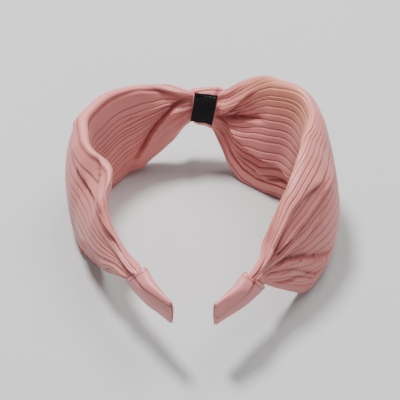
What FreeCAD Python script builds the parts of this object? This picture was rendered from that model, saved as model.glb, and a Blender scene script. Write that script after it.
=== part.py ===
import FreeCAD, Part
import math
import os

# Knotted headband in pleated satin, lying on its side.
#
# A springy plastic U strip runs through two wide pleated satin sleeves.  The sleeves are gathered to
# narrow necks at the crown, where a knot loop wraps them, and again at the two tips, where plain satin
# caps are glued on.  A woven label is stitched on the head side of the knot loop.
#
# Frame: +Z is the width of the band, +Y points from the tips to the knot, +X to the right.  The band
# rests on the lower edges of the two sleeves at z = 0, and the origin is below the middle of its box.
#
# A point on the band is given by s, the arc length along the strip from the crown; side, -1 left or
# +1 right; a, the distance outwards from the strip's middle surface; and z.  All sizes are in mm.

V = FreeCAD.Vector

# ---- plastic strip ----
# the plan of half the strip: four tangent arcs, as (radius, direction at the arc's end in degrees)
STRIP_ARCS = ((95.0, 26.0), (47.5, 90.0), (52.0, 118.0), (263.0, 136.2))
STRIP_Z = 41.0             # height of the strip's middle line
STRIP_WIDTH = 12.0
STRIP_THICKNESS = 2.0
STRIP_END_RADIUS = 5.0     # rounded corners of the strip's two ends
STRIP_CLEARANCE = 0.3      # kept free all round the strip
LOFT_ALLOWANCE = 0.35      # more room round the strip, for what a loft does between its sections
STRIP_EDGE_SHARE = 0.9     # how far up a closed section's half height the strip's edges may reach

# ---- pleated sleeves ----
SLEEVE_WALL = 0.8          # fold depth of the pleated satin
LOWER_DROP = STRIP_Z       # from the strip's middle line down to the lowest edge
UPPER_RISE = 40.0          # from the strip's middle line up to the highest edge
EDGE_SHARE = 1.25          # wall at a tube's two folded edges, as a share of the wall elsewhere
REST_FLAT = 0.3            # how much of the lower edge is pressed flat on the surface below
NECK_S = 11.5              # where the sleeves' gathered necks start
KNOT_GAP = 2.0             # room between the knot loop and a neck, for the legs to flex
COLLAR_LENGTH = 4.0        # length of sleeve, before a cap's mouth, that already has its tucked size
TUCK_LENGTH = 10.0         # length of sleeve that is tucked into a cap

# Sections of each sleeve from the neck (u = 0) to the cap's mouth (u = 1):
# (u, share of LOWER_DROP, share of UPPER_RISE, lean at the lower edge, lean at the upper edge,
#  bulge outwards, bulge towards the head).  The leans and bulges are distances along a, in mm.
LEFT_SLEEVE = (
    (0.00, 0.34, 0.40, 0.0, 0.0, 4.5, 4.5),
    (0.07, 0.51, 0.50, -5.0, 1.0, 6.0, 3.0),
    (0.14, 0.78, 0.60, -4.0, 0.0, 7.0, 3.0),
    (0.23, 1.00, 0.70, -3.5, 0.0, 8.5, 3.0),
    (0.33, 1.00, 0.78, -5.5, 0.0, 10.5, 3.0),
    (0.42, 1.00, 0.80, -3.0, 0.0, 11.5, 3.0),
    (0.51, 1.00, 0.82, 2.0, -4.0, 10.5, 3.5),
    (0.61, 1.00, 0.82, 4.0, -7.0, 9.0, 3.5),
    (0.68, 1.00, 0.76, 4.0, -11.0, 9.0, 3.0),
    (0.75, 1.00, 0.72, 1.5, -8.0, 8.5, 3.0),
    (0.80, 0.95, 0.65, 0.0, -2.5, 6.5, 3.5),
    (0.85, 0.80, 0.50, 0.0, -1.5, 5.5, 3.5),
    (0.90, 0.58, 0.35, 0.0, -1.0, 4.5, 3.5),
    (1.00, 0.24, 0.23, 0.0, 0.0, 3.5, 3.5),
)
RIGHT_SLEEVE = (
    (0.00, 0.51, 0.38, -8.0, 2.0, 8.0, 3.0),
    (0.05, 0.84, 0.58, -12.0, 2.0, 9.0, 3.0),
    (0.12, 1.00, 0.78, -16.0, 3.0, 10.5, 3.0),
    (0.22, 1.00, 0.95, -18.0, -1.0, 13.5, 3.0),
    (0.30, 1.00, 1.00, -16.0, -1.0, 14.5, 3.0),
    (0.39, 1.00, 0.98, -13.0, -4.0, 15.5, 3.0),
    (0.47, 1.00, 0.98, -4.0, -9.0, 15.0, 3.0),
    (0.55, 1.00, 0.98, 4.0, -13.0, 13.0, 3.0),
    (0.65, 1.00, 0.93, 8.0, -13.0, 11.0, 3.0),
    (0.73, 1.00, 0.88, 10.0, -11.0, 9.0, 3.5),
    (0.79, 1.00, 0.80, 10.0, -9.0, 7.5, 4.0),
    (0.84, 0.90, 0.68, 9.0, -7.0, 6.0, 4.0),
    (0.89, 0.68, 0.52, 6.0, -4.5, 6.0, 4.0),
    (0.94, 0.44, 0.32, 2.5, -2.0, 5.5, 4.5),
    (1.00, 0.24, 0.23, 0.0, 0.0, 3.5, 3.5),
)
SLEEVES = {"left": (-1, LEFT_SLEEVE), "right": (1, RIGHT_SLEEVE)}
SLEEVE_SECTIONS = 40       # sections lofted along a sleeve up to the cap's mouth
TUCK_SECTIONS = 4          # sections lofted along its tucked end

# ---- seam inside each sleeve ----
SEAM_HEIGHT = 2.2          # above the floor of the hollow
THREAD_RADIUS = 0.25
STITCH_LENGTH = 2.0
STITCH_PITCH = 3.6
SEAM_MARGIN = 10.0         # from each end of the seam to the sleeve's neck and the cap's mouth

# ---- knot loop, as sections (share of the loop's half length, low z, high z, leans, bulges) ----
KNOT_WALL = 2.0            # several layers of gathered satin
KNOT_SECTIONS = (
    (-1.0, 12.0, 19.0, 0.0, -2.0, 7.0, 6.5),
    (-0.5, 12.0, 19.5, -2.5, -2.0, 8.0, 5.5),
    (0.0, 12.5, 20.0, -4.0, -2.0, 9.5, 5.0),
    (0.5, 13.5, 20.0, -5.5, -1.0, 10.5, 5.0),
    (1.0, 15.0, 19.0, -7.0, 0.0, 11.0, 5.0),
)

# ---- woven label on the head side of the knot loop ----
LABEL_WIDTH = 14.0         # along the band
LABEL_HEIGHT = 20.5
LABEL_THICKNESS = 0.5
LABEL_GAP = 0.15           # between the knot loop and the label, and the label and its stitches
LABEL_S = -1.0             # the label's middle along the band
LABEL_Z = STRIP_Z + 6.5    # the label's middle height
LABEL_TILT = 8.0           # degrees that the label's top leans to the right
LABEL_STITCH_MARGIN = 1.0  # from the label's edge to its stitches
LABEL_STITCHES = 5         # in each of the two rows
LABEL_STITCH_SIZE = (1.8, 0.5, 0.35)   # along the band, across the row, proud of the label

# ---- tip caps ----
CAP_LENGTH = 31.0          # from the mouth to the strip's end
CAP_WALL = 0.8             # folded plain satin
CAP_CLEARANCE = 0.3        # between a cap and the tucked sleeve
CAP_TIP_HALF_HEIGHT = 10.0
CAP_END_WALL = 1.2

# ---- glue inside each cap ----
GLUE_START = 1.5           # beyond the end of the tucked sleeve
GLUE_CLEARANCE = 0.05      # to the cap
GLUE_STRIP_CLEARANCE = 0.2

RING_POINTS = 24           # points round a closed section
BIG = 400.0                # larger than the whole band


def strip_segments():
    """Each arc as (start s, start angle, radius, centre x, centre y), and half the strip's length."""
    segments = []
    s = 0.0
    angle = 0.0
    x = 0.0
    y = -STRIP_ARCS[0][0]
    last_radius = STRIP_ARCS[0][0]
    for radius, end_degrees in STRIP_ARCS:
        x += (last_radius - radius) * math.sin(angle)
        y += (last_radius - radius) * math.cos(angle)
        segments.append((s, angle, radius, x, y))
        end = math.radians(end_degrees)
        s += radius * (end - angle)
        angle = end
        last_radius = radius
    return segments, s


SEGMENTS, HALF_LENGTH = strip_segments()
MOUTH_S = HALF_LENGTH - CAP_LENGTH


def at(s, side, a, z):
    """The point at arc length s, a outwards and z up."""
    start, angle, radius, cx, cy = [g for g in SEGMENTS if g[0] <= max(s, 0.0)][-1]
    phi = angle + (s - start) / radius
    reach = radius + a
    return V(side * (cx + reach * math.sin(phi)), cy + reach * math.cos(phi), z)


def slope(before, row, after, k):
    """The slope of column k at a row: level at a peak or a dip, so the curve never overshoots."""
    left = (row[k] - before[k]) / (row[0] - before[0]) if row[0] > before[0] else 0.0
    right = (after[k] - row[k]) / (after[0] - row[0]) if after[0] > row[0] else 0.0
    return 2 * left * right / (left + right) if left * right > 0 else 0.0


def blend(table, u):
    """Every column of a table at u, by a smooth curve through its rows."""
    u = min(max(u, table[0][0]), table[-1][0])
    i = max(k for k in range(len(table) - 1) if table[k][0] <= u)
    before, row, after, beyond = (table[min(max(i + k, 0), len(table) - 1)] for k in (-1, 0, 1, 2))
    width = after[0] - row[0]
    t = (u - row[0]) / width
    weights = 2 * t**3 - 3 * t**2 + 1, t**3 - 2 * t**2 + t, 3 * t**2 - 2 * t**3, t**3 - t**2
    values = []
    for k in range(1, len(row)):
        start = width * slope(before, row, after, k)
        end = width * slope(row, after, beyond, k)
        terms = row[k], start, after[k], end
        values.append(sum(weight * term for weight, term in zip(weights, terms)))
    return values


def ring(s, side, section, inset=0.0):
    """A closed section: (low z, high z, low lean, high lean, bulge out, bulge in), shrunk by inset."""
    low, high, lean_low, lean_high, out, inn = section
    middle = (low + high) / 2
    half = (high - low) / 2
    points = []
    for k in range(RING_POINTS + 1):
        angle = 2 * math.pi * (k % RING_POINTS) / RING_POINTS
        z = middle - (half - EDGE_SHARE * inset) * math.cos(angle)
        lean = lean_low + (lean_high - lean_low) * (z - low) / (high - low)
        swell = (out - inn) / 2 * math.sin(angle) ** 2
        a = lean + swell + ((out + inn) / 2 - inset) * math.sin(angle)
        points.append(at(s, side, a, z))
    return points


def loft(rings):
    """A solid with a smooth side through the rings and a flat face at each end."""
    surface = Part.BSplineSurface()
    surface.interpolate(rings)
    first, last = surface.bounds()[:2]
    ends = [Part.Face(Part.Wire([surface.uIso(u).toShape()])) for u in (first, last)]
    shell = Part.makeShell([surface.toShape()] + ends)
    shell.sewShape()
    return Part.Solid(Part.Shell(shell.Faces))


def spaced(first, last, count):
    return [first + (last - first) * k / (count - 1) for k in range(count)]


def grown(section, margin):
    """A section that holds the given one with this margin left inside a wall of inset = margin."""
    low, high, lean_low, lean_high, out, inn = section
    edge = EDGE_SHARE * margin
    return low - edge, high + edge, lean_low, lean_high, out + margin, inn + margin


def strip_solid(half_width, half_thickness, first, last, side):
    """A stretch of the strip, or of the room that it needs, as one swept bar."""
    solids = []
    ends = [g[0] for g in SEGMENTS[1:]] + [last]
    for (start, angle, radius, cx, cy), end in zip(SEGMENTS, ends):
        lo = max(start, first)
        hi = min(end, last)
        if hi <= lo:
            continue
        faces = []
        for a in (-half_thickness, half_thickness):
            ends_and_middle = [at(s, side, a, STRIP_Z - half_width) for s in (lo, (lo + hi) / 2, hi)]
            faces.append(Part.Arc(*ends_and_middle).toShape())
        inner, outer = faces
        joins = [Part.makeLine(inner.valueAt(inner.FirstParameter), outer.valueAt(outer.FirstParameter)),
                 Part.makeLine(inner.valueAt(inner.LastParameter), outer.valueAt(outer.LastParameter))]
        face = Part.Face(Part.Wire(Part.__sortEdges__([inner, joins[1], outer, joins[0]])))
        solids.append(face.extrude(V(0, 0, 2 * half_width)))
    return solids


def fuse(solids):
    shape = solids[0].multiFuse(solids[1:]) if len(solids) > 1 else solids[0]
    return shape.removeSplitter()


def band_core():
    """The one-piece plastic strip, its end corners rounded."""
    halves = []
    for side in (-1, 1):
        halves += strip_solid(STRIP_WIDTH / 2, STRIP_THICKNESS / 2, 0.0, HALF_LENGTH, side)
    strip = fuse(halves)
    corners = [e for e in strip.Edges if is_end_corner(e)]
    return strip.makeFillet(STRIP_END_RADIUS, corners)


def is_end_corner(edge):
    """Is this one of the short edges through the strip's thickness at its two ends?"""
    if edge.Length > STRIP_THICKNESS * 1.01:
        return False
    middle = edge.BoundBox.Center
    return any((V(middle.x, middle.y, 0) - at(HALF_LENGTH, side, 0, 0)).Length < 0.1 for side in (-1, 1))


def round_strip(section, wall):
    """The section, made tall and deep enough where needed for the strip to pass inside its wall."""
    low, high, lean_low, lean_high, out, inn = section
    reach = (STRIP_WIDTH / 2 + STRIP_CLEARANCE) / STRIP_EDGE_SHARE + EDGE_SHARE * wall
    low = min(low, STRIP_Z - reach)
    high = max(high, STRIP_Z + reach)
    room = STRIP_THICKNESS / 2 + STRIP_CLEARANCE + LOFT_ALLOWANCE
    more_out = 0.0
    more_in = 0.0
    for z in spaced(STRIP_Z - STRIP_WIDTH / 2, STRIP_Z + STRIP_WIDTH / 2, 5):
        across = (2 * z - low - high) / (high - low - 2 * EDGE_SHARE * wall)
        sine = math.sqrt(1 - across**2)
        middle = lean_low + (lean_high - lean_low) * (z - low) / (high - low) + (out - inn) / 2 * sine**2
        half = ((out + inn) / 2 - wall) * sine
        more_out = max(more_out, (room - middle - half) * 2 / (sine + sine**2))
        more_in = max(more_in, (room + middle - half) * 2 / (sine + sine**2))
    return low, high, lean_low, lean_high, out + more_out, inn + more_in


def sleeve_section(table, s):
    """The sleeve's section at s.  It keeps its last size inside the cap."""
    u = (s - NECK_S) / (MOUTH_S - COLLAR_LENGTH - NECK_S)
    low, high, lean_low, lean_high, out, inn = blend(table, u)
    drop = low * (LOWER_DROP + REST_FLAT)
    section = STRIP_Z - drop, STRIP_Z + high * UPPER_RISE, lean_low, lean_high, out, inn
    return round_strip(section, SLEEVE_WALL)


def above_rest(shape):
    """The shape without what is below z = 0."""
    return shape.cut(Part.makeBox(BIG, BIG, BIG, V(-BIG / 2, -BIG / 2, -BIG)))


def sleeve(side, table):
    """A flattened tube of pleated satin, open at its neck and at its tucked end."""
    end = MOUTH_S + TUCK_LENGTH
    stations = spaced(NECK_S, MOUTH_S, SLEEVE_SECTIONS) + spaced(MOUTH_S, end, TUCK_SECTIONS)[1:]
    outside = loft([ring(s, side, sleeve_section(table, s)) for s in stations])
    stations[0] -= SLEEVE_WALL
    stations[-1] += SLEEVE_WALL
    inside = loft([ring(s, side, sleeve_section(table, s), SLEEVE_WALL) for s in stations])
    return above_rest(outside.cut(inside))


def seam_thread(side, table):
    """Stitches of the sleeve's long seam, inside its lower fold."""
    stitches = []
    first = NECK_S + SEAM_MARGIN
    count = int((MOUTH_S - SEAM_MARGIN - first) / STITCH_PITCH)
    for k in range(count):
        ends = []
        for s in (first + k * STITCH_PITCH, first + k * STITCH_PITCH + STITCH_LENGTH):
            low, high, lean_low, lean_high, out, inn = sleeve_section(table, s)
            z = low + EDGE_SHARE * SLEEVE_WALL + SEAM_HEIGHT
            across = 1 - (2 * (z - low) / (high - low) - 1) ** 2
            lean = lean_low + (lean_high - lean_low) * (z - low) / (high - low)
            ends.append(at(s, side, lean + (out - inn) / 2 * across, z))
        along = ends[1] - ends[0]
        stitches.append(Part.makeCylinder(THREAD_RADIUS, along.Length, ends[0], along))
    return Part.makeCompound(stitches)


KNOT_HALF = NECK_S - KNOT_GAP


def knot_loft(extra_in=0.0, inset=0.0, reach=0.0):
    """The knot loop's outline, thickened towards the head, shrunk by inset, or longer by reach."""
    rings = []
    for share, drop, rise, lean_low, lean_high, out, inn in KNOT_SECTIONS:
        s = share * (KNOT_HALF + reach)
        section = STRIP_Z - drop, STRIP_Z + rise, lean_low, lean_high, out, inn
        low, high, lean_low, lean_high, out, inn = round_strip(section, KNOT_WALL)
        rings.append(ring(s, 1, (low, high, lean_low, lean_high, out, inn + extra_in), inset))
    return loft(rings)


def knot_loop():
    """The thick ring of gathered satin round the strip and the necks."""
    return knot_loft().cut(knot_loft(inset=KNOT_WALL, reach=KNOT_WALL))


def head_side_block(s, z, width, height):
    """A block on the head side of the knot loop, centred on s and z and then tilted with the label."""
    middle = at(s, 1, 0.0, z)
    block = Part.makeBox(width, BIG / 8, height, V(middle.x - width / 2, middle.y - BIG / 8, z - height / 2))
    block.rotate(at(LABEL_S, 1, 0.0, LABEL_Z), V(0, 1, 0), LABEL_TILT)
    return block


def head_side_layer(first, last, block):
    """What a block holds of the layer between these two distances from the knot loop's head side."""
    return knot_loft(extra_in=last).common(block).cut(knot_loft(extra_in=first))


def woven_label():
    """A thin curved plate over the knot loop's head side."""
    block = head_side_block(LABEL_S, LABEL_Z, LABEL_WIDTH, LABEL_HEIGHT)
    return head_side_layer(LABEL_GAP, LABEL_GAP + LABEL_THICKNESS, block)


def label_stitches():
    """Two rows of stitches, along the label's top and bottom edges."""
    length, across, proud = LABEL_STITCH_SIZE
    first = 2 * LABEL_GAP + LABEL_THICKNESS
    reach = LABEL_WIDTH / 2 - LABEL_STITCH_MARGIN - length / 2
    rise = LABEL_HEIGHT / 2 - LABEL_STITCH_MARGIN
    stitches = []
    for z in (LABEL_Z - rise, LABEL_Z + rise):
        for s in spaced(LABEL_S - reach, LABEL_S + reach, LABEL_STITCHES):
            stitches.append(head_side_layer(first, first + proud, head_side_block(s, z, length, across)))
    return Part.makeCompound(stitches)


def cap_section(table, s):
    """The cap's outside at s: round the tucked sleeve first, then down to the flat tip."""
    margin = CAP_CLEARANCE + CAP_WALL
    mouth = grown(sleeve_section(table, MOUTH_S), margin)
    swell = STRIP_THICKNESS / 2 + STRIP_CLEARANCE + CAP_WALL + CAP_CLEARANCE
    low = STRIP_Z - CAP_TIP_HALF_HEIGHT
    tip = low, STRIP_Z + CAP_TIP_HALF_HEIGHT, 0.0, 0.0, swell, swell
    start = MOUTH_S + TUCK_LENGTH
    t = min(max((s - start) / (HALF_LENGTH - start), 0.0), 1.0)
    return [m + (e - m) * t * t * (3 - 2 * t) for m, e in zip(mouth, tip)]


def cap_stations():
    return spaced(MOUTH_S, MOUTH_S + TUCK_LENGTH, 3) + spaced(MOUTH_S + TUCK_LENGTH, HALF_LENGTH, 5)[1:]


def cap_loft(side, table, inset, start_reach, end_reach):
    stations = cap_stations()
    stations[0] -= start_reach
    stations[-1] += end_reach
    return loft([ring(s, side, cap_section(table, s), inset) for s in stations])


def tip_cap(side, table):
    """A pocket of folded plain satin over the strip's end."""
    outside = cap_loft(side, table, 0.0, 0.0, STRIP_CLEARANCE + CAP_END_WALL)
    return outside.cut(cap_loft(side, table, CAP_WALL, CAP_WALL, STRIP_CLEARANCE))


def tip_glue(side, table):
    """Hot-melt glue that fills the cap round the strip's end."""
    room = cap_loft(side, table, CAP_WALL + GLUE_CLEARANCE, 0.0, STRIP_CLEARANCE - GLUE_CLEARANCE)
    first = MOUTH_S + TUCK_LENGTH + GLUE_START
    stretch = fuse(strip_solid(BIG / 8, BIG / 16, first, HALF_LENGTH + STRIP_CLEARANCE, side))
    half_width = STRIP_WIDTH / 2 + GLUE_STRIP_CLEARANCE
    half_thickness = STRIP_THICKNESS / 2 + GLUE_STRIP_CLEARANCE
    strip_room = fuse(strip_solid(half_width, half_thickness, first - 1.0, HALF_LENGTH + 1.0, side))
    return room.common(stretch).cut(strip_room)


def build():
    """Every node's shape by name."""
    shapes = {"band_core": band_core()}
    for name, (side, table) in SLEEVES.items():
        shapes[name + "_sleeve"] = sleeve(side, table)
        shapes[name + "_seam_thread"] = seam_thread(side, table)
        shapes[name + "_tip_cap"] = tip_cap(side, table)
        shapes[name + "_tip_glue"] = tip_glue(side, table)
    shapes["knot_loop"] = knot_loop()
    shapes["woven_label"] = woven_label()
    shapes["label_stitches"] = label_stitches()
    return shapes


def export(shapes):
    """Moves the band over the origin and writes one file for each node."""
    box = FreeCAD.BoundBox()
    for shape in shapes.values():
        box.add(shape.optimalBoundingBox(False))
    shift = V(-box.Center.x, -box.Center.y, 0)
    os.makedirs("parts", exist_ok=True)
    for name, shape in shapes.items():
        moved = shape.copy()
        moved.translate(shift)
        moved.exportStep("parts/" + name + ".step")
        solids = len(moved.Solids)
        print(f"{name:18s} solids {solids:3d} volume {moved.Volume / 1000:8.3f} cm3 valid {moved.isValid()}")
    print("size", [round(n, 2) for n in (box.XLength, box.YLength, box.ZLength)])
    print("shift", round(shift.x, 3), round(shift.y, 3), "half length", round(HALF_LENGTH, 2))


export(build())
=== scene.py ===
import bpy
import math
import numpy as np
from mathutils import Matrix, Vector


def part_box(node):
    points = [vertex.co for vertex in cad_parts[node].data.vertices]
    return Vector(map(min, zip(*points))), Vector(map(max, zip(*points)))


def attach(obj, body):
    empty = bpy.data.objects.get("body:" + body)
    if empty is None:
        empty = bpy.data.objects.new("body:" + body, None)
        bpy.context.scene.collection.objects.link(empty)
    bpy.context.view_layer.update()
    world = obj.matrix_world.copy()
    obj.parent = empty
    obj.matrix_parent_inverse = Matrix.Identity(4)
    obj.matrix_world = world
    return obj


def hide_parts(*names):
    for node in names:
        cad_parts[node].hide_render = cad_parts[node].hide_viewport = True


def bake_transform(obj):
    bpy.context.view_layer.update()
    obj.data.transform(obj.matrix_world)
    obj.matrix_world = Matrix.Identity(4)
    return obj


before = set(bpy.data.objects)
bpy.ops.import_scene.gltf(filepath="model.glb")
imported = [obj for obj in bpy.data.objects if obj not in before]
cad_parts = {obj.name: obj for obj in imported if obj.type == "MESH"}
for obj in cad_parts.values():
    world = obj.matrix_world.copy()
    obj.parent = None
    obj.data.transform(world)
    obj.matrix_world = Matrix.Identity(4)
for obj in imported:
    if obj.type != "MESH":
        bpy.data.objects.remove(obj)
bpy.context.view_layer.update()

# Knotted headband in pleated satin.  The plain CAD tubes give way to pleated cloth in the same space.
# Lengths below are in millimetres until a mesh is made; MM turns them into metres.  A place on the band
# is s along the plastic strip from the crown, side (-1 left, +1 right), a outwards from the strip, and z.

MM = 0.001
rng = np.random.default_rng(7)

# ---- the strip's plan: (radius, direction at the arc's end in degrees), as in the CAD model ----
STRIP_ARCS = ((95.0, 26.0), (47.5, 90.0), (52.0, 118.0), (263.0, 136.2))
STRIP_Z = 41.0
STRIP_WIDTH = 12.0
STRIP_THICKNESS = 2.0
STRIP_END_RADIUS = 5.0
LOWER_DROP = 41.0
UPPER_RISE = 40.0
NECK_S = 11.5
CAP_LENGTH = 31.0
COLLAR_LENGTH = 4.0

# ---- sleeve sections: u, low share, high share, low lean, high lean, out, in ----
# They follow the CAD model, with more rows inside the knot and with the necks reshaped on both sides.
LEFT_SLEEVE = (
    (-0.05, 0.20, 0.34, 0.0, 0.0, 4.0, 4.0),
    (0.00, 0.34, 0.40, 0.0, 0.0, 4.5, 4.5),
    (0.07, 0.51, 0.50, -5.0, 1.0, 6.0, 4.4),
    (0.14, 0.78, 0.60, -4.0, 0.0, 7.0, 4.2),
    (0.23, 1.00, 0.70, -3.5, 0.0, 8.5, 3.6),
    (0.33, 1.00, 0.78, -5.5, 0.0, 10.5, 3.0),
    (0.42, 1.00, 0.80, -3.0, 0.0, 11.5, 3.0),
    (0.51, 1.00, 0.82, 2.0, -4.0, 10.5, 3.5),
    (0.61, 1.00, 0.82, 4.0, -7.0, 9.0, 3.5),
    (0.68, 1.00, 0.76, 4.0, -11.0, 9.0, 3.0),
    (0.75, 1.00, 0.72, 1.5, -8.0, 8.5, 3.0),
    (0.80, 0.95, 0.65, 0.0, -2.5, 6.5, 3.5),
    (0.85, 0.80, 0.50, 0.0, -1.5, 5.5, 3.5),
    (0.90, 0.58, 0.35, 0.0, -1.0, 4.5, 3.5),
    (1.00, 0.24, 0.23, 0.0, 0.0, 3.5, 3.5),
)
RIGHT_SLEEVE = (
    (-0.09, 0.15, 0.30, -1.0, 0.0, 2.5, 3.0),
    (-0.05, 0.27, 0.32, -4.0, 0.0, 3.6, 3.2),
    (0.00, 0.51, 0.38, -8.0, 2.0, 6.2, 4.2),
    (0.05, 0.84, 0.58, -12.0, 2.0, 9.0, 5.2),
    (0.12, 1.00, 0.78, -16.0, 3.0, 10.5, 5.0),
    (0.22, 1.00, 0.95, -18.0, -1.0, 13.5, 3.8),
    (0.30, 1.00, 1.00, -16.0, -1.0, 14.5, 3.0),
    (0.39, 1.00, 0.98, -13.0, -4.0, 15.5, 3.0),
    (0.47, 1.00, 0.98, -4.0, -9.0, 15.0, 3.0),
    (0.55, 1.00, 0.98, 4.0, -13.0, 13.0, 3.0),
    (0.65, 1.00, 0.93, 8.0, -13.0, 11.0, 3.0),
    (0.73, 1.00, 0.88, 10.0, -11.0, 9.0, 3.5),
    (0.79, 1.00, 0.80, 10.0, -9.0, 7.5, 4.0),
    (0.84, 0.90, 0.68, 9.0, -7.0, 6.0, 4.0),
    (0.89, 0.68, 0.52, 6.0, -4.5, 6.0, 4.0),
    (0.94, 0.44, 0.32, 2.5, -2.0, 5.5, 4.5),
    (1.00, 0.24, 0.23, 0.0, 0.0, 3.5, 3.5),
)


# ================================ geometry of the band ================================

def strip_segments():
    """Each arc as (start s, start angle, radius, centre x, centre y), and half the strip's length."""
    segments = []
    s = angle = x = 0.0
    y = -STRIP_ARCS[0][0]
    last_radius = STRIP_ARCS[0][0]
    for radius, end_degrees in STRIP_ARCS:
        x += (last_radius - radius) * math.sin(angle)
        y += (last_radius - radius) * math.cos(angle)
        segments.append((s, angle, radius, x, y))
        end = math.radians(end_degrees)
        s += radius * (end - angle)
        angle = end
        last_radius = radius
    return segments, s


SEGMENTS, HALF_LENGTH = strip_segments()
MOUTH_S = HALF_LENGTH - CAP_LENGTH
CORE_LOW, CORE_HIGH = (np.array(c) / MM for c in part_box("band_core"))
SHIFT_X = (CORE_LOW[0] + CORE_HIGH[0]) / 2
SHIFT_Y = CORE_HIGH[1] - STRIP_THICKNESS / 2


def place(s, side, a, z):
    """Points in the row frame, in mm, for arrays of s, a and z."""
    s, a, z = np.broadcast_arrays(np.asarray(s, float), np.asarray(a, float), np.asarray(z, float))
    points = np.zeros(s.shape + (3,))
    for start, angle, radius, cx, cy in SEGMENTS:
        here = s >= start if start > 0 else np.ones(s.shape, bool)
        phi = angle + (s - start) / radius
        x = side * (cx + (radius + a) * np.sin(phi)) + SHIFT_X
        y = cy + (radius + a) * np.cos(phi) + SHIFT_Y
        points[here] = np.stack([x, y, z], -1)[here]
    return points


def columns(table, u):
    """Every column of a table at each u, smooth and with no overshoot."""
    rows = np.array(table, float)
    at = rows[:, 0]
    u = np.clip(np.asarray(u, float), at[0], at[-1])
    steps = np.diff(rows[:, 1:], axis=0) / np.diff(at)[:, None]
    slopes = np.zeros_like(rows[:, 1:])
    both = steps[:-1] * steps[1:] > 0
    total = np.where(both, steps[:-1] + steps[1:], 1.0)
    slopes[1:-1] = np.where(both, 2 * steps[:-1] * steps[1:] / total, 0.0)
    i = np.clip(np.searchsorted(at, u, side="right") - 1, 0, len(at) - 2)
    width = (at[i + 1] - at[i])[..., None]
    t = ((u - at[i])[..., None]) / width
    values = ((2 * t**3 - 3 * t**2 + 1) * rows[i, 1:] + (t**3 - 2 * t**2 + t) * width * slopes[i]
              + (3 * t**2 - 2 * t**3) * rows[i + 1, 1:] + (t**3 - t**2) * width * slopes[i + 1])
    return np.moveaxis(values, -1, 0)


def sleeve_section(table, s):
    u = (s - NECK_S) / (MOUTH_S - COLLAR_LENGTH - NECK_S)
    low, high, lean_low, lean_high, out, inn = columns(table, u)
    return STRIP_Z - low * LOWER_DROP, STRIP_Z + high * UPPER_RISE, lean_low, lean_high, out, inn


def ring_at(section, theta):
    """a and z on a closed section.  theta runs from the lower edge up the outside and back."""
    low, high, lean_low, lean_high, out, inn = (c[:, None] for c in section)
    z = (low + high) / 2 - (high - low) / 2 * np.cos(theta)
    lean = lean_low + (lean_high - lean_low) * (z - low) / (high - low)
    a = lean + (out - inn) / 2 * np.sin(theta) ** 2 + (out + inn) / 2 * np.sin(theta)
    return a, z


def smooth(x, low, high):
    """0 below low, 1 above high, smooth between."""
    t = np.clip((np.asarray(x, float) - low) / (high - low), 0, 1)
    return t * t * (3 - 2 * t)


def surface_normals(points):
    """Unit normals of a grid that closes on itself along its second axis, pointing out of the tube."""
    along = np.gradient(points, axis=0)
    around = np.roll(points, -1, axis=1) - np.roll(points, 1, axis=1)
    normals = np.cross(along, around)
    normals /= np.maximum(np.linalg.norm(normals, axis=-1, keepdims=True), 1e-9)
    middle = points.mean(axis=1, keepdims=True)
    if ((points - middle) * normals).sum(-1).mean() < 0:
        normals = -normals
    return normals


def grid_mesh(name, points, attributes=(), seam=False, closed=(False, False)):
    """A smooth mesh in metres from a grid (n, m, 3) in mm whose second axis goes round a tube.

    With seam, the cloth's two long edges meet but aren't joined.  closed says which ends get a face.
    """
    attributes = dict(attributes)
    n, m = points.shape[:2]
    along = np.gradient(points, axis=0)
    around = np.roll(points, -1, axis=1) - np.roll(points, 1, axis=1)
    turned = (np.cross(along, around) * surface_normals(points)).sum(-1).mean() < 0
    if seam:
        points = np.concatenate([points, points[:, :1]], axis=1)
        attributes = {key: np.concatenate([v, v[:, :1]], axis=1) for key, v in attributes.items()}
        m += 1
    i, j = np.meshgrid(np.arange(n - 1), np.arange(m - 1 if seam else m), indexing="ij")
    k = (j + 1) % m
    faces = np.stack([i * m + j, (i + 1) * m + j, (i + 1) * m + k, i * m + k], -1).reshape(-1, 4)
    ends = [list(range(m)), list(range((n - 1) * m, n * m))[::-1]]
    faces = faces.tolist() + [end for end, shut in zip(ends, closed) if shut]
    if turned:
        faces = [face[::-1] for face in faces]
    mesh = bpy.data.meshes.new(name)
    mesh.from_pydata((points.reshape(-1, 3) * MM).tolist(), [], faces)
    for key, values in attributes.items():
        vector = values.ndim == 3
        attribute = mesh.attributes.new(key, "FLOAT_VECTOR" if vector else "FLOAT", "POINT")
        attribute.data.foreach_set("vector" if vector else "value", values.astype(np.float32).ravel())
    mesh.polygons.foreach_set("use_smooth", [True] * len(mesh.polygons))
    mesh.update()
    piece = bpy.data.objects.new(name, mesh)
    bpy.context.scene.collection.objects.link(piece)
    return piece


# ================================ pleated sleeves ================================
# Around a sleeve, m runs from 0 at the lower edge, up the outside to 0.5 at the upper edge, and down the
# head side to 1.  Each pleat is a flat panel with a sharp step and a narrow groove on one side.

PLEAT_PROFILE = ((0.00, -1.0), (0.07, -0.7), (0.14, 0.7), (0.21, 1.0), (0.32, 0.7), (0.58, 0.4),
                 (0.84, 0.2), (0.93, -0.6))

# pleats of each sleeve, as (m where the stretch ends, how many, depth in mm) from the lower edge up
LEFT_PLEATS = ((0.16, 4, 0.60), (0.47, 8, 2.40), (0.56, 2, 0.35), (1.00, 16, 0.75))
RIGHT_PLEATS = ((0.22, 6, 0.80), (0.44, 8, 2.00), (0.53, 4, 1.20), (0.70, 7, 0.45), (0.86, 5, 0.75),
                (1.00, 5, 0.60))
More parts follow.
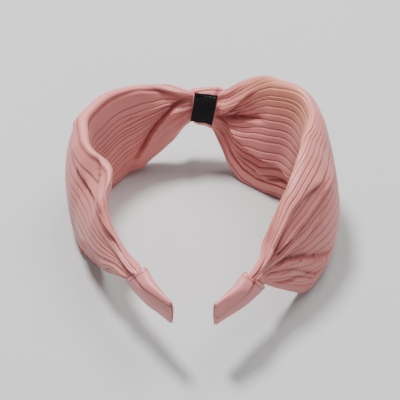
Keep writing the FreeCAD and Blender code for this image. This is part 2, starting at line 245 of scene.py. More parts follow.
# how the pleats turn round each layer of a sleeve, as (s, change of m)
LEFT_TURN_OUT = ((0, 0.0), (120, 0.0), (180, 0.08))
LEFT_TURN_IN = ((0, -0.03), (70, 0.08), (180, 0.08))
RIGHT_TURN_OUT = ((0, 0.0), (100, -0.02), (180, 0.05))
RIGHT_TURN_IN = ((0, 0.0), (75, -0.05), (180, 0.0))
# where the pleats crowd together, as (s, middle of the crowd, width kept)
LEFT_CROWDS = ((0, 0.65, 0.35), (40, 0.70, 1.0), (150, 0.40, 1.0), (175, 0.40, 0.70))
RIGHT_CROWDS = ((0, 0.75, 0.30), (40, 0.75, 1.0), (140, 0.40, 1.0), (175, 0.40, 0.55))

# Laps are folds where one side lies over the other.  Each is (layer, path, lift above the path, its reach,
# lift below the path, its reach), lifts and reaches in mm.  A path is a smooth curve from one end of the
# fold over at most one bend to the other, as (s, share of the half height).
FRONT_FOLD = ((10, 0.6), (30, 0.0), (50, -0.6))
PETAL_FOLD = ((5, 0.1), (40, -0.35), (80, -0.4))
LEFT_LAPS = (
    ("in", FRONT_FOLD, -0.6, 5, 3.6, 16),
    ("in", ((10, 0.8), (35, 1.0)), 2.2, 8, -1.2, 4),
    ("in", ((10, 0.7), (25, 0.5), (50, 0.4)), 1.6, 8, -1.6, 5),
    ("out", ((75, 0.8), (120, 0.6), (165, 1.0)), 1.8, 9, -1.8, 3.5),
    ("out", ((110, 1.0), (130, 0.8), (150, 1.0)), 1.2, 5, -1.5, 2.5),
    ("out", ((120, -0.4), (145, -0.1), (160, -0.3)), 2.2, 10, -2.2, 6),
    ("out", ((130, -0.7), (150, -0.5)), 0.8, 4, -1.0, 3),
    ("out", ((140, -0.8), (155, -0.6)), 0.8, 4, -1.0, 3),
)
RIGHT_LAPS = (
    ("in", PETAL_FOLD, 2.2, 18, -3.6, 8),
    ("in", ((10, 0.2), (20, 0.3), (40, 0.3)), -3.4, 5, 0.4, 6),
    ("in", ((5, 0.3), (30, 0.8)), 1.8, 6, -1.6, 5),
    ("in", ((5, 0.2), (30, 0.6)), 1.4, 5, -1.4, 4),
    ("in", ((5, -0.4), (25, -0.5), (50, -0.7)), 1.4, 5, -1.4, 5),
    ("in", ((50, -0.7), (70, -0.6)), -0.8, 4, 1.6, 6),
    ("out", ((110, 0.6), (140, 0.8), (170, 0.8)), 2.2, 10, -2.0, 4),
    ("out", ((100, 0.4), (145, 0.5), (175, 0.8)), 2.0, 8, -2.0, 4),
    ("out", ((90, 0.3), (145, 0.2), (175, 0.5)), 2.2, 9, -3.4, 9),
    ("out", ((120, -0.6), (145, -0.1), (175, 0.4)), -3.4, 9, 2.4, 8),
    ("out", ((130, -0.7), (155, -0.2), (175, 0.0)), -1.2, 5, 1.4, 5),
    ("out", ((135, -0.7), (150, -0.5), (165, -0.8)), -1.0, 4, 1.4, 6),
)
# Smooth cloth on the head side, below a path; the right sleeve has none
LEFT_CALM = FRONT_FOLD + ((70, -1.2),)
RIGHT_CALM = ((0, -1.2), (180, -1.2))
# Extra lean of each sleeve's upper edge towards the head, as (s, mm)
LEFT_FLAP = ((100, 0.0), (125, 4.5), (145, 0.0))
RIGHT_FLAP = ((135, 0.0), (160, 4.0), (180, 0.0))


NEAR_STRIP = 9.5           # height from the strip's middle line within which the cloth clears the strip
STRIP_ROOM = 1.4           # least distance of the cloth from the strip's middle surface there
DEEPEST = 6.0              # how far any fold may sink into a sleeve


def pleat_grid(pleats):
    """Marks round the tube, and for each its height in its pleat's profile and the pleat's depth."""
    marks, heights, depths, owners = [], [], [], []
    start = 0.0
    for end, count, depth in pleats:
        widths = rng.uniform(0.55, 1.45, count)
        edges = start + (end - start) * np.concatenate([[0.0], np.cumsum(widths)]) / widths.sum()
        for k in range(count):
            strength = rng.uniform(0.7, 1.3)
            for share, height in PLEAT_PROFILE:
                marks.append(edges[k] + (edges[k + 1] - edges[k]) * share)
                heights.append(height)
                depths.append(depth * strength)
                owners.append(len(owners) // len(PLEAT_PROFILE))
        start = end
    return np.array(marks), np.array(heights), np.array(depths), np.array(owners)


def table_at(table, s):
    """Every column of a table of (s, values...) at each s, straight between its rows."""
    rows = np.array(table, float)
    return [np.interp(s, rows[:, 0], rows[:, k]) for k in range(1, rows.shape[1])]


def crowded(m, centre, keep):
    """Marks moved so that those near the centre crowd together."""
    d = (m - centre + 0.5) % 1.0 - 0.5
    reach = 0.30
    pull = keep + (1 - keep) * np.minimum(np.abs(d) / reach, 1) ** 2
    return centre + d * pull


def lap_lift(lap, s, w, half, outer):
    """How far one lap moves the cloth along its normal, in mm, and how much painted shade its hollow gets."""
    layer, path, up, up_reach, down, down_reach = lap
    line = columns(path, s)[0]
    first, last = path[0][0], path[-1][0]
    ramp = min((last - first) * 0.3, 9)
    fade = smooth(s, first - 3, first + ramp) * (1 - smooth(s, last - ramp, last + 3))
    distance = (w - line[:, None]) * half[:, None]
    step = max(0.8, 0.28 * abs(up - down))
    side = smooth(distance, -step, step)
    lift = side * up * np.exp(-np.maximum(distance, 0) / up_reach)
    lift += (1 - side) * down * np.exp(np.minimum(distance, 0) / down_reach)
    # painted shade: the hollow beside the lap is painted darker, more for taller laps
    hollow_shade = np.exp(-((distance - math.copysign(0.9, down - up)) / 1.0) ** 2) * min(abs(up - down) / 4, 1)
    edge = smooth(1 - np.abs(w), 0.0, 0.05)
    same = outer if layer == "out" else ~outer
    reach = fade[:, None] * edge * same
    return lift * reach, hollow_shade * reach


# how far each cap's mouth moves along s at its lower and upper edges
MOUTH_SLANT = {-1: (-5.5, 6.0), 1: (-5.0, 6.5)}


def mouth_at(side, w):
    """Where the cap's slanted mouth is along s, at each share w of the half height."""
    slant_low, slant_high = MOUTH_SLANT[side]
    return MOUTH_S + slant_low + (slant_high - slant_low) * (w + 1) / 2


def sleeve(name, side, table, pleats, turn_out, turn_in, crowds, laps, calm, flap, first_s):
    s = np.concatenate([np.linspace(first_s, 40, 60), np.linspace(40, 135, 92)[1:],
                        np.linspace(135, MOUTH_S + 9, 66)[1:]])
    section = sleeve_section(table, s)
    half = (section[1] - section[0]) / 2
    theta = np.linspace(0, 2 * math.pi, 361)
    a, z = ring_at(section, theta[None, :])
    lengths = np.hypot(np.diff(a, axis=1), np.diff(z, axis=1))
    travelled = np.concatenate([np.zeros((len(s), 1)), np.cumsum(lengths, axis=1)], axis=1)
    perimeter = travelled[:, -1]
    travelled /= perimeter[:, None]
    marks, heights, depths, owners = pleat_grid(pleats)
    inside = smooth(np.sin(2 * math.pi * marks), -0.35, 0.35)
    turn = (table_at(turn_out, s)[0][:, None] * inside + table_at(turn_in, s)[0][:, None] * (1 - inside))
    centre, keep = table_at(crowds, s)
    fractions = crowded(marks[None, :] + turn, centre[:, None], keep[:, None])
    wrapped = fractions % 1.0
    at = np.stack([np.interp(wrapped[i], travelled[i], theta) for i in range(len(s))])
    a, z = ring_at(section, at)
    w = -np.cos(at)
    outer = np.sin(at) > 0
    a = a - table_at(flap, s)[0][:, None] * smooth(w, 0.3, 1.0)
    points = place(np.broadcast_to(s[:, None], a.shape), side, a, z)
    normals = surface_normals(points)
    # pleats, deeper where the sleeve is gathered
    gaps = np.diff(np.concatenate([fractions, fractions[:, :1] + 1], axis=1), axis=1)
    starts = np.searchsorted(owners, np.arange(owners[-1] + 1))
    pitch = np.abs(np.add.reduceat(gaps, starts, axis=1)) * perimeter[:, None]
    full = pitch.max(axis=0)
    gather = 0.40 * np.sqrt(np.maximum(full**2 - pitch**2, 0))
    depth = np.minimum(depths[starts] + gather, 0.28 * pitch + 0.25)[:, owners]
    depth = depth * (1 - 0.7 * (1 - smooth(w - table_at(calm, s)[0][:, None], -0.06, 0.06)) * ~outer)
    lift = depth * heights[None, :]
    # wider folds towards the two gathered ends
    neck = np.exp(-(s - NECK_S) / 14)
    mouth = np.exp(-(MOUTH_S - s) / 20)
    for count, height in ((5, 0.9), (9, 0.7), (14, 0.5)):
        phases = rng.uniform(0, 2 * math.pi, 2)
        waves = [np.cos(2 * math.pi * count * marks[None, :] + phase + 0.02 * s[:, None]) for phase in phases]
        lift = lift + height * (np.minimum(neck, 1.2)[:, None] * waves[0]
                                + np.minimum(mouth, 1.2)[:, None] * waves[1])
    # slack cloth between
    for k in range(6):
        count, speed, phase = rng.integers(1, 5), rng.uniform(0.03, 0.09), rng.uniform(0, 2 * math.pi)
        lift = lift + 0.22 * np.cos(2 * math.pi * count * marks[None, :] + speed * s[:, None] + phase)
    hollow_shade = np.zeros_like(lift)
    for lap in laps:
        lap_height, lap_shade = lap_lift(lap, s, w, half, outer)
        lift = lift + lap_height
        hollow_shade = np.maximum(hollow_shade, lap_shade)
    lift = lift * smooth(s, NECK_S - 9, NECK_S + 2)[:, None]
    # flatter inside the cap
    past_mouth = s[:, None] - mouth_at(side, w)
    lift = lift * (1 - 0.85 * smooth(past_mouth, -5, 1)) - 0.5 * smooth(past_mouth, -1.5, 1)
    # neither layer reaches the plastic strip
    near_strip = smooth(NEAR_STRIP - np.abs(z - STRIP_Z), 0, 2.5)
    lift = np.maximum(lift, -DEEPEST + near_strip * (DEEPEST + STRIP_ROOM - np.abs(a)))
    points = points + normals * lift[..., None]
    points[..., 2] = np.maximum(points[..., 2], 0.15)
    # painted shade: the low part of each pleat and the lap hollows are painted dark rose, darker for deeper
    # pleats
    groove_shade = np.clip(0.1 - heights[None, :] * 0.9, 0, 1) * np.clip(0.25 + depth * 1.0, 0, 1)
    groove_shade = np.maximum(groove_shade, 0.8 * hollow_shade)
    cloth = np.stack([fractions * perimeter.max(), np.broadcast_to(s[:, None], a.shape), 0 * a], -1)
    tint = 0.6 * smooth(z, 50, 78) * ~outer * (side > 0) * smooth(s, 8, 25)[:, None]
    # painted highlight: the crests of deep pleats on the legs are marked to be painted a light blush
    crest_highlight = smooth(heights, 0.5, 1.0)[None, :] * smooth(depth, 0.5, 2.0) * smooth(s, 60, 90)[:, None]
    facts = {"groove_shade": groove_shade, "crest_highlight": crest_highlight, "cloth": cloth * MM, "tint": tint * np.ones_like(lift)}
    return grid_mesh(name, points, facts, seam=True)


# ================================ knot, label, caps and strip ================================

KNOT_HALF = 9.5
KNOT_HEAD_HALF = 7.3       # the loop is narrower on the head side
KNOT_SECTIONS = (          # share of the half length, drop, rise, leans, out, in
    (-1.0, 10.0, 15.2, 0.0, 0.0, 5.6, 6.2),
    (-0.5, 10.0, 16.0, -1.5, 0.0, 6.2, 5.8),
    (0.0, 10.0, 16.4, -2.0, 0.0, 6.6, 5.4),
    (0.5, 11.0, 16.2, -3.0, 0.5, 7.2, 5.4),
    (1.0, 12.0, 15.4, -4.0, 1.0, 7.6, 5.6),
)
LABEL_WIDTH = 14.0
LABEL_HEIGHT = 20.5
LABEL_S = -1.0
LABEL_Z = 47.1
LABEL_TILT = math.radians(8.0)


def lipped(points, facts, first=None, last=None):
    """The grid with a rolled lip at an end: (how far it turns inwards, how far it goes back), in mm."""
    for lip, end, beside in ((first, 0, 1), (last, -1, -2)):
        if lip is None:
            continue
        inwards = points[end].mean(axis=0) - points[end]
        inwards /= np.linalg.norm(inwards, axis=-1, keepdims=True)
        back = points[beside] - points[end]
        back /= np.linalg.norm(back, axis=-1, keepdims=True)
        row = (points[end] + inwards * lip[0] + back * lip[1])[None]
        points = np.concatenate([row, points] if end == 0 else [points, row])
        for key, values in facts.items():
            extra = values[end][None]
            facts[key] = np.concatenate([extra, values] if end == 0 else [values, extra])
    return points, facts


def knot_section(share):
    drop, rise, lean_low, lean_high, out, inn = columns(KNOT_SECTIONS, share)
    return STRIP_Z - drop, STRIP_Z + rise, lean_low, lean_high, out, inn


def knot():
    """The gathered satin loop: folds that wind round it as they cross the band."""
    share = np.linspace(-1, 1, 56)
    tuck = 1.1 * smooth(np.abs(share), 0.78, 1.0)
    theta = np.linspace(0, 2 * math.pi, 260, endpoint=False)
    section = knot_section(share)
    a, z = ring_at(section, theta[None, :])
    reach = KNOT_HEAD_HALF + (KNOT_HALF - KNOT_HEAD_HALF) * smooth(np.sin(theta), -0.3, 0.5)
    s = share[:, None] * reach[None, :] + LABEL_S * smooth(-np.sin(theta), -0.3, 0.5)[None, :]
    points = place(s, 1, a, z)
    normals = surface_normals(points)
    lift = np.zeros(a.shape)
    for count, height, wind in ((6, 0.9, 1.5), (11, 0.6, 2.3), (19, 0.35, 3.2)):
        x = count * theta[None, :] + wind * share[:, None] + rng.uniform(0, 2 * math.pi)
        lift += height * (2 * np.abs(np.sin(x / 2)) ** 0.7 - 1)
    # painted shade: the knot's fold hollows are painted darker, less so on the head side
    groove_shade = np.clip(-lift * 0.7, 0, 1)
    head_side = smooth(-np.sin(theta), 0.05, 0.5)[None, :]
    roll = np.exp(-((theta - math.pi) / 0.55) ** 2)[None, :]
    calm = (1 - 0.85 * head_side) * (1 - 0.45 * roll)
    points = points + normals * (lift * calm - tuck[:, None])[..., None]
    cloth = np.stack([theta[None, :] * 14 + 0 * s, s, 0 * s], -1) * MM
    facts = {"groove_shade": groove_shade * calm, "cloth": cloth, "tint": 0 * s}
    points, facts = lipped(points, facts, first=(1.6, 2.0), last=(1.6, 2.0))
    return grid_mesh("knot", points, facts, seam=True)


def on_label(p, q, height):
    """A point over the knot's head side: p across and q up the label, height towards the head."""
    s = LABEL_S + p * math.cos(LABEL_TILT) + q * math.sin(LABEL_TILT)
    z = LABEL_Z - p * math.sin(LABEL_TILT) + q * math.cos(LABEL_TILT)
    low, high, lean_low, lean_high, out, inn = knot_section(s / KNOT_HALF)
    rise = np.clip((2 * z - low - high) / (high - low), -0.995, 0.93)
    side = np.sqrt(1 - rise**2)
    lean = lean_low + (lean_high - lean_low) * (z - low) / (high - low)
    a = lean + (out - inn) / 2 * side**2 - (out + inn) / 2 * side
    return place(s, 1, a - height, z)


def label():
    """A woven plate with a selvedge, slightly raised at its corners, over the knot."""
    across = np.linspace(-1, 1, 40)
    half_w, half_h = LABEL_WIDTH / 2, LABEL_HEIGHT / 2
    # a flattened ring round the plate for each height up the label
    q = np.concatenate([[-half_h], np.linspace(-half_h, half_h, 60), [half_h]])
    p = np.concatenate([across * half_w, across[::-1] * half_w])
    front = np.concatenate([np.ones(40), np.zeros(40)])
    edge = np.concatenate([1 - np.abs(across) ** 12, 1 - np.abs(across) ** 12])
    thick = np.where(front > 0, 0.42, -0.02)[None, :] * (0.35 + 0.65 * edge)[None, :]
    thick = thick * np.concatenate([[0.2], np.ones(60), [0.2]])[:, None]
    curl = 0.35 * (np.abs(p)[None, :] / half_w) ** 3 + 0.5 * (np.abs(q)[:, None] / half_h) ** 4
    wave = 0.12 * np.sin(p[None, :] * 0.9 + q[:, None] * 0.35)
    points = on_label(p[None, :], q[:, None], 0.75 + thick + curl * 0.5 + wave)
    cloth = np.stack([np.broadcast_to(p[None, :], thick.shape), np.broadcast_to(q[:, None], thick.shape),
                      0 * thick], -1) * MM
    return grid_mesh("label", points, {"cloth": cloth}, closed=(True, True))


def label_stitches():
    """Short straight stitches of doubled thread along the label's top and bottom edges."""
    theta = np.linspace(0, 2 * math.pi, 10, endpoint=False)
    stitches = []
    for row in (-1, 1):
        for p in np.linspace(-5.1, 5.1, 5):
            along = np.linspace(-1, 1, 9)
            profile = np.sqrt(np.maximum(1 - along**4, 0.02)) * 0.2
            x = p + along * 0.9 + rng.uniform(-0.15, 0.15)
            y = row * (LABEL_HEIGHT / 2 - 1.0) + rng.uniform(-0.08, 0.08)
            curl = 0.35 * (np.abs(x) / 7) ** 3 + 0.4
            height = 1.18 + curl * 0.5 + 0.12 * np.sin(x * 0.9 + y * 0.35) + 0.12 * (1 - along**2)
            rings = on_label(x[:, None] + 0 * theta, y + profile[:, None] * np.cos(theta)[None, :],
                             height[:, None] + profile[:, None] * np.sin(theta)[None, :])
            stitches.append(grid_mesh("stitch", rings, closed=(True, True)))
    return joined(stitches, "label_thread")


def joined(pieces, name):
    """One object from several."""
    bpy.ops.object.select_all(action="DESELECT")
    for piece in pieces:
        piece.select_set(True)
    bpy.context.view_layer.objects.active = pieces[0]
    bpy.ops.object.join()
    pieces[0].name = name
    return pieces[0]


CAP_CLEARANCE = 0.3
CAP_WALL = 0.8
CAP_TIP_HALF_HEIGHT = 10.0
TUCK_LENGTH = 10.0
CAP_FLARE = 2.2            # how far the upper end of a cap's mouth leans towards the head
CAP_LAP = 0.7              # half the step where a cap's cloth overlaps


def cap(name, side, table):
    """A flat pocket of plain satin, with a slanted mouth, a folded hem and a cut-off tip."""
    margin = CAP_CLEARANCE + CAP_WALL
    theta = np.linspace(0, 2 * math.pi, 144, endpoint=False)
    swell = STRIP_THICKNESS / 2 + 2 * CAP_CLEARANCE + CAP_WALL
    tip = STRIP_Z - CAP_TIP_HALF_HEIGHT, STRIP_Z + CAP_TIP_HALF_HEIGHT, 0, 0, swell, swell
    end = HALF_LENGTH + 1.5
    t = np.linspace(0, 1, 72)
    w = -np.cos(theta)
    start = mouth_at(side, w)
    s = start[None, :] + t[:, None] * (end - start)[None, :]
    edges = -1.25 * margin, 1.25 * margin, 0, 0, margin, margin
    mouth = [value + edge for value, edge in zip(sleeve_section(table, s), edges)]
    k = smooth(s, MOUTH_S + TUCK_LENGTH, HALF_LENGTH)
    low, high, lean_low, lean_high, out, inn = [m + (e - m) * k for m, e in zip(mouth, tip)]
    pinch = 1 - 0.1 * smooth(t, 0.75, 1.0)[:, None]
    out, inn = out * pinch, inn * pinch
    z = (low + high) / 2 - (high - low) / 2 * np.cos(theta)[None, :]
    flat = np.sign(np.sin(theta)) * np.abs(np.sin(theta)) ** 0.8
    a = (out - inn) / 2 * np.sin(theta)[None, :] ** 2 + (out + inn) / 2 * flat[None, :]
    a = a + lean_low + (lean_high - lean_low) * (w[None, :] + 1) / 2
    a = a - CAP_FLARE * smooth(w, 0.2, 1.0)[None, :] * (1 - smooth(t, 0.0, 0.4))[:, None]
    points = place(s, side, a, z)
    normals = surface_normals(points)
    outer = np.sin(theta)[None, :] > 0
    lift = -1.3 * smooth(t, 0.97, 1.0)[:, None] - 0.4 * (1 - smooth(t, 0.0, 0.03))[:, None] + 0 * a
    # the overlapped strip along the top, a hem at the mouth and slack dimples
    line = 0.62 + 0.16 * smooth(t, 0.0, 1.0)[:, None] if side < 0 else 0.70 - 0.75 * t[:, None]
    distance = (w[None, :] - line) * 10
    over = smooth(distance, -0.5, 0.5)
    above = over * np.exp(-np.maximum(distance, 0) / 4)
    below = (1 - over) * np.exp(np.minimum(distance, 0) / 2)
    between_hems = smooth(t, 0.03, 0.2) * (1 - smooth(t, 0.86, 1.0))
    lift += CAP_LAP * (above - below) * outer * between_hems[:, None]
    hem = np.exp(-((s - start[None, :] - 2.2) / 0.5) ** 2)
    lift -= 0.22 * hem
    for k in range(7):
        centre_t, centre_w = rng.uniform(0.15, 0.95), rng.uniform(-0.8, 0.8)
        lift += rng.uniform(-0.45, 0.35) * np.exp(-((t[:, None] - centre_t) / 0.13) ** 2
                                                  - ((w[None, :] - centre_w) / 0.35) ** 2)
    points = points + normals * lift[..., None]
    # painted shade: a dark line in the crease under the overlapped strip and along the hem
    groove_shade = np.clip(0.8 * np.exp(-(distance + 0.5) ** 2 / 0.8) * outer + 0.5 * hem, 0, 1)
    cloth = np.stack([np.broadcast_to(theta[None, :] * 9, a.shape), s, 0 * a], -1) * MM
    facts = {"groove_shade": groove_shade, "cloth": cloth, "tint": 0 * a}
    points, facts = lipped(points, facts, first=(0.7, 0.9))
    return grid_mesh(name, points, facts, closed=(False, True))


def squared(x):
    """Makes the sine or cosine of a turn follow a rounded rectangle."""
    return np.sign(x) * np.abs(x) ** 0.35


def core(name, side):
    """Half of the plastic strip, with rounded edges and a rounded end."""
    theta = np.linspace(0, 2 * math.pi, 32, endpoint=False)
    straight_end = HALF_LENGTH - STRIP_END_RADIUS
    s = np.concatenate([np.linspace(0, straight_end, 110),
                        straight_end + STRIP_END_RADIUS * np.sin(np.linspace(0, math.pi / 2, 10))[1:]])
    round_end = np.clip((s - straight_end) / STRIP_END_RADIUS, 0, 1)
    half_width = STRIP_WIDTH / 2 - STRIP_END_RADIUS * (1 - np.sqrt(1 - round_end**2))
    a = STRIP_THICKNESS / 2 * squared(np.sin(theta))[None, :] + 0 * s[:, None]
    z = STRIP_Z - half_width[:, None] * squared(np.cos(theta))[None, :]
    return grid_mesh(name, place(np.broadcast_to(s[:, None], a.shape), side, a, z), closed=(True, True))


# ================================ materials ================================

def material(name):
    made = bpy.data.materials.new(name)
    made.use_nodes = True
    return made, made.node_tree.nodes, made.node_tree.links, made.node_tree.nodes["Principled BSDF"]


def woven(nodes, links, across_and_along, pitch):
    """A socket with the height of crossed threads, pitch metres apart."""
    threads = nodes.new("ShaderNodeMath")
    threads.operation = "MULTIPLY"
    for k, direction in enumerate(("X", "Y")):
        wave = nodes.new("ShaderNodeTexWave")
        wave.bands_direction = direction
        wave.inputs["Scale"].default_value = 1 / (pitch * 20)
        wave.inputs["Distortion"].default_value = 0.6
        links.new(across_and_along, wave.inputs["Vector"])
        links.new(wave.outputs["Fac"], threads.inputs[k])
    return threads.outputs["Value"]


def satin(name, light, shade, peach, weave=0.0004, roughness=0.42):
    made, nodes, links, shader = material(name)
    groove_shade = nodes.new("ShaderNodeAttribute")
    groove_shade.attribute_name = "groove_shade"
    tint = nodes.new("ShaderNodeAttribute")
    tint.attribute_name = "tint"
    cloth = nodes.new("ShaderNodeAttribute")
    cloth.attribute_name = "cloth"
    place_node = nodes.new("ShaderNodeTexCoord")
    patches = nodes.new("ShaderNodeTexNoise")
    patches.inputs["Scale"].default_value = 45.0
    patches.inputs["Detail"].default_value = 3.0
    links.new(place_node.outputs["Object"], patches.inputs["Vector"])
    # painted shade: the base colour turns from the light pink to the dark rose shade colour in grooves,
    # creases and fold hollows
    base = nodes.new("ShaderNodeMix")
    base.data_type = "RGBA"
    base.inputs["A"].default_value = (*light, 1)
    base.inputs["B"].default_value = (*shade, 1)
    links.new(groove_shade.outputs["Fac"], base.inputs["Factor"])
    # painted highlight: the marked pleat crests turn to a light blush where the light would catch them
    crest_highlight = nodes.new("ShaderNodeAttribute")
    crest_highlight.attribute_name = "crest_highlight"
    highlight_mix = nodes.new("ShaderNodeMix")
    highlight_mix.data_type = "RGBA"
    highlight_mix.inputs["B"].default_value = (*BLUSH, 1)
    links.new(crest_highlight.outputs["Fac"], highlight_mix.inputs["Factor"])
    links.new(base.outputs["Result"], highlight_mix.inputs["A"])
    warm = nodes.new("ShaderNodeMix")
    warm.data_type = "RGBA"
    warm.inputs["B"].default_value = (*peach, 1)
    links.new(tint.outputs["Fac"], warm.inputs["Factor"])
    links.new(highlight_mix.outputs["Result"], warm.inputs["A"])
    vary = nodes.new("ShaderNodeHueSaturation")
    span = nodes.new("ShaderNodeMapRange")
    span.inputs["From Min"].default_value = 0.3
    span.inputs["From Max"].default_value = 0.7
    span.inputs["To Min"].default_value = 0.93
    span.inputs["To Max"].default_value = 1.06
    links.new(patches.outputs["Fac"], span.inputs["Value"])
    links.new(span.outputs["Result"], vary.inputs["Value"])
    links.new(warm.outputs["Result"], vary.inputs["Color"])
    links.new(vary.outputs["Color"], shader.inputs["Base Color"])
    crinkle = nodes.new("ShaderNodeTexNoise")
    crinkle.inputs["Scale"].default_value = 420.0
    crinkle.inputs["Detail"].default_value = 4.0
    links.new(place_node.outputs["Object"], crinkle.inputs["Vector"])
    first = nodes.new("ShaderNodeBump")
    first.inputs["Strength"].default_value = 0.12
    first.inputs["Distance"].default_value = 0.0001
    links.new(woven(nodes, links, cloth.outputs["Vector"], weave), first.inputs["Height"])
    second = nodes.new("ShaderNodeBump")
    second.inputs["Strength"].default_value = 0.25
    second.inputs["Distance"].default_value = 0.0003
    links.new(crinkle.outputs["Fac"], second.inputs["Height"])
    links.new(first.outputs["Normal"], second.inputs["Normal"])
    links.new(second.outputs["Normal"], shader.inputs["Normal"])
    gloss = nodes.new("ShaderNodeMapRange")
    gloss.inputs["To Min"].default_value = roughness - 0.07
    gloss.inputs["To Max"].default_value = roughness + 0.09
    links.new(crinkle.outputs["Fac"], gloss.inputs["Value"])
    links.new(gloss.outputs["Result"], shader.inputs["Roughness"])
    shader.inputs["Sheen Weight"].default_value = 0.12
    shader.inputs["Sheen Roughness"].default_value = 0.4
    shader.inputs["Specular IOR Level"].default_value = 0.34
    return made


def plain(name, dark, light, scale, roughness, bump, weave=0.0, through=0.0):
    """Two mixed shades with a little relief; weave adds crossed threads, through lets light in."""
    made, nodes, links, shader = material(name)
    spot = nodes.new("ShaderNodeTexCoord")
    grain = nodes.new("ShaderNodeTexNoise")
    grain.inputs["Scale"].default_value = scale
    grain.inputs["Detail"].default_value = 4.0
    links.new(spot.outputs["Object"], grain.inputs["Vector"])
    height = grain.outputs["Fac"]
    if weave:
        cloth = nodes.new("ShaderNodeAttribute")
        cloth.attribute_name = "cloth"
        height = woven(nodes, links, cloth.outputs["Vector"], weave)
    blend = nodes.new("ShaderNodeMix")
    blend.data_type = "RGBA"
    blend.inputs["A"].default_value = (*dark, 1)
    blend.inputs["B"].default_value = (*light, 1)
    links.new(height, blend.inputs["Factor"])
    links.new(blend.outputs["Result"], shader.inputs["Base Color"])
    relief = nodes.new("ShaderNodeBump")
    relief.inputs["Strength"].default_value = 0.5
    relief.inputs["Distance"].default_value = bump
    links.new(height, relief.inputs["Height"])
    links.new(relief.outputs["Normal"], shader.inputs["Normal"])
    gloss = nodes.new("ShaderNodeMapRange")
    gloss.inputs["To Min"].default_value = roughness - 0.08
    gloss.inputs["To Max"].default_value = roughness + 0.08
    links.new(grain.outputs["Fac"], gloss.inputs["Value"])
    links.new(gloss.outputs["Result"], shader.inputs["Roughness"])
    shader.inputs["Transmission Weight"].default_value = through
    shader.inputs["Specular IOR Level"].default_value = 0.2 if weave else 0.45
    return made


PINK = (0.64, 0.222, 0.205)
# painted shade: the dark rose put into grooves, creases and fold hollows
PAINTED_SHADE_ROSE = (0.20, 0.030, 0.026)
PEACH = (0.60, 0.25, 0.14)
BLUSH = (0.80, 0.42, 0.39)   # where the light catches a crest
PLEATED = satin("pleated_satin", PINK, PAINTED_SHADE_ROSE, PEACH)
KNOTTED = satin("knot_satin", PINK, PAINTED_SHADE_ROSE, PEACH)
LABEL = plain("label", (0.004, 0.004, 0.005), (0.010, 0.010, 0.011), 900, 0.72, bump=0.0002, weave=0.00035)
THREAD = plain("label_thread", (0.012, 0.012, 0.013), (0.03, 0.03, 0.03), 2500, 0.6, bump=0.0001)
PINK_THREAD = plain("pink_thread", (0.50, 0.17, 0.16), (0.68, 0.30, 0.28), 2200, 0.5, bump=0.0002)
GLUE = plain("glue", (0.72, 0.62, 0.45), (0.80, 0.74, 0.60), 260, 0.28, bump=0.0002, through=0.35)
PLASTIC = plain("plastic", (0.018, 0.018, 0.020), (0.035, 0.035, 0.037), 350, 0.38, bump=0.0001)
PLAIN = satin("cap_satin", (0.64, 0.225, 0.215), PAINTED_SHADE_ROSE, PEACH, roughness=0.38)


# ================================ camera, light and floor ================================

def look_at(thing, target):
    direction = Vector(target) - thing.location
    thing.rotation_euler = direction.to_track_quat("-Z", "Y").to_euler()


def camera():
    azimuth, elevation, distance = math.radians(2.8), math.radians(52), 0.700
    target = Vector((SHIFT_X * MM, (SHIFT_Y - 70) * MM, 0.043))
    data = bpy.data.cameras.new("camera")
    data.lens = 113.3
    data.sensor_width = 36
    thing = bpy.data.objects.new("camera", data)
    bpy.context.scene.collection.objects.link(thing)
    flat = math.cos(elevation)
    thing.location = target + distance * Vector((math.sin(azimuth) * flat, -math.cos(azimuth) * flat,
                                                 math.sin(elevation)))
    look_at(thing, target)
    bpy.context.scene.camera = thing


def area_light(name, location, target, size, power, colour=(1, 1, 1)):
    data = bpy.data.lights.new(name, "AREA")
    data.shape = "DISK"
    data.size = size
    data.energy = power
    data.color = colour
    thing = bpy.data.objects.new(name, data)
    bpy.context.scene.collection.objects.link(thing)
    thing.location = location
    look_at(thing, target)


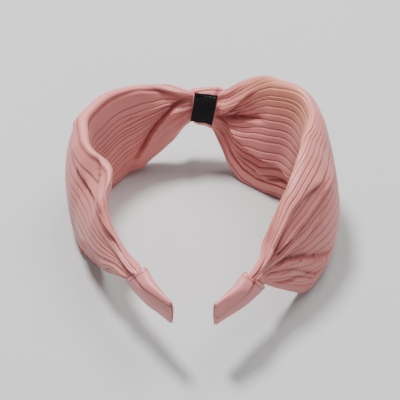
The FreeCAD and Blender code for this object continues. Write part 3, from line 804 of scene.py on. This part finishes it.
def studio():
    area_light("key", (-0.26, 0.34, 1.1), (0, 0, 0.03), 0.22, 22)
    area_light("top", (0.30, 0.35, 1.0), (0, 0, 0.03), 0.6, 8)
    area_light("fill", (0.3, -1.2, 0.7), (0, 0, 0.03), 0.9, 4)
    world = bpy.data.worlds.new("world")
    world.use_nodes = True
    world.node_tree.nodes["Background"].inputs["Color"].default_value = (0.9, 0.93, 1.0, 1)
    world.node_tree.nodes["Background"].inputs["Strength"].default_value = 0.26
    bpy.context.scene.world = world
    bpy.ops.mesh.primitive_plane_add(size=6, location=(0, 0, 0))
    floor = bpy.context.object
    floor.name = "floor"
    made, nodes, links, shader = material("floor")
    shader.inputs["Base Color"].default_value = (0.52, 0.52, 0.515, 1)
    shader.inputs["Roughness"].default_value = 0.9
    floor.data.materials.append(made)


# ================================ the pieces ================================

def dress(piece, finish, node, body=None, leg=None):
    piece.data.materials.append(finish)
    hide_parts(node)
    if body:
        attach(piece, body)
    if leg:
        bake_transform(piece)


camera()
studio()
left = sleeve("left_pleated_sleeve", -1, LEFT_SLEEVE, LEFT_PLEATS, LEFT_TURN_OUT, LEFT_TURN_IN,
              LEFT_CROWDS, LEFT_LAPS, LEFT_CALM, LEFT_FLAP, 5.0)
right = sleeve("right_pleated_sleeve", 1, RIGHT_SLEEVE, RIGHT_PLEATS, RIGHT_TURN_OUT, RIGHT_TURN_IN,
               RIGHT_CROWDS, RIGHT_LAPS, RIGHT_CALM, RIGHT_FLAP, -2.5)
dress(left, PLEATED, "left_sleeve", leg="left_leg")
dress(right, PLEATED, "right_sleeve", leg="right_leg")
knot_piece = knot()
dress(knot_piece, KNOTTED, "knot_loop", body="crown")
label_piece = label()
dress(label_piece, LABEL, "woven_label", body="crown")
dress(label_stitches(), THREAD, "label_stitches", body="crown")
caps = cap("left_cap", -1, LEFT_SLEEVE), cap("right_cap", 1, RIGHT_SLEEVE)
for piece, name in zip(caps, ("left", "right")):
    dress(piece, PLAIN, name + "_tip_cap", body=name + "_leg")
for piece, name in zip((core("left_core", -1), core("right_core", 1)), ("left", "right")):
    dress(piece, PLASTIC, "band_core", leg=name + "_leg")
for name in ("left_seam_thread", "right_seam_thread", "left_tip_glue", "right_tip_glue"):
    carried = bpy.data.objects[name]
    carried.data.materials.clear()
    carried.data.materials.append(GLUE if "glue" in name else PINK_THREAD)
